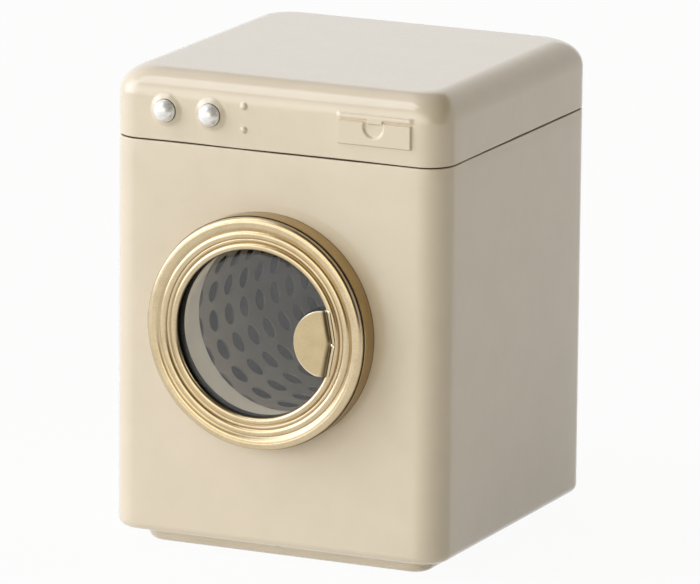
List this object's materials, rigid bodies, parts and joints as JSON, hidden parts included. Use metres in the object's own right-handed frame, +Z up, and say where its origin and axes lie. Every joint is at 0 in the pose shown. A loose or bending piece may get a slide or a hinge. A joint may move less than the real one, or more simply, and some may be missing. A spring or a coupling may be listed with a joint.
{
  "type": "toy washing machine",
  "caption": "Doll-scale front-loading toy washing machine in painted tin with an opening porthole door, a turning perforated drum, knobs and a lift-off top cover.",
  "frame": {"origin": "centre of the flat underside of the plinth, on the floor", "axes": "+Z up, -Y towards the porthole door at the front, +X to the right as seen from the front"},
  "size_m": [0.0896, 0.0975, 0.12],
  "materials": {
    "cream_paint": "glossy cream enamel on tin",
    "gold_lacquer": "satin champagne gold lacquer",
    "pale_steel": "satin bare tin",
    "dark_steel": "dark bare tin",
    "steel": "bare steel",
    "drum_steel": "satin grey steel",
    "bush_brass": "turned",
    "chrome": "polished",
    "black_rubber": "matt",
    "black_plastic": "satin black",
    "clear_window": "clear, slightly grey"
  },
  "bodies": {
    "cabinet": {"body_shell": "cream_paint", "neck_rim": "dark_steel", "base_pan": "cream_paint", "base_rivets": "steel", "door_collar": "gold_lacquer", "mouth_sleeve": "pale_steel", "hinge_bracket": "gold_lacquer", "hinge_pin": "steel", "catch_magnet": "dark_steel", "bearing_plate": "steel", "shaft_bush": "bush_brass"},
    "drum": {"drum_wall": "drum_steel", "drum_hoop": "drum_steel", "drum_back": "drum_steel", "drum_hub": "steel", "drum_shaft": "steel", "shaft_clip": "steel"},
    "cover": {"top_cover": "cream_paint"},
    "left_knob": {"knob_left": "chrome", "knob_left_clip": "steel"},
    "right_knob": {"knob_right": "chrome", "knob_right_clip": "steel"},
    "door": {"door_ring": "gold_lacquer", "ring_seal": "black_rubber", "window_seal": "black_rubber", "door_glass": "clear_window", "glass_retainer": "black_plastic", "door_handle": "gold_lacquer", "handle_backing": "black_plastic", "handle_rivet": "gold_lacquer", "hinge_leaf": "gold_lacquer", "catch_plate": "steel"}
  },
  "joints": [
    {"name": "door_swing", "type": "hinge", "parent": "cabinet", "child": "door", "pos_m": [-0.0308, -0.04705, 0.0589], "axis": [0, 0, -1], "range_deg": [0, 110]},
    {"name": "drum_spin", "type": "hinge", "parent": "cabinet", "child": "drum", "pos_m": [-0.0019, 0, 0.0589], "axis": [0, 1, 0], "continuous": true},
    {"name": "cover_lift", "type": "slide", "parent": "cabinet", "child": "cover", "axis": [0, 0, 1], "range_m": [0, 0.03]},
    {"name": "knob_left_turn", "type": "hinge", "parent": "cover", "child": "left_knob", "pos_m": [-0.0293, -0.04555, 0.1105], "axis": [0, 1, 0], "continuous": true},
    {"name": "knob_right_turn", "type": "hinge", "parent": "cover", "child": "right_knob", "pos_m": [-0.0173, -0.04555, 0.1105], "axis": [0, 1, 0], "continuous": true}
  ]
}
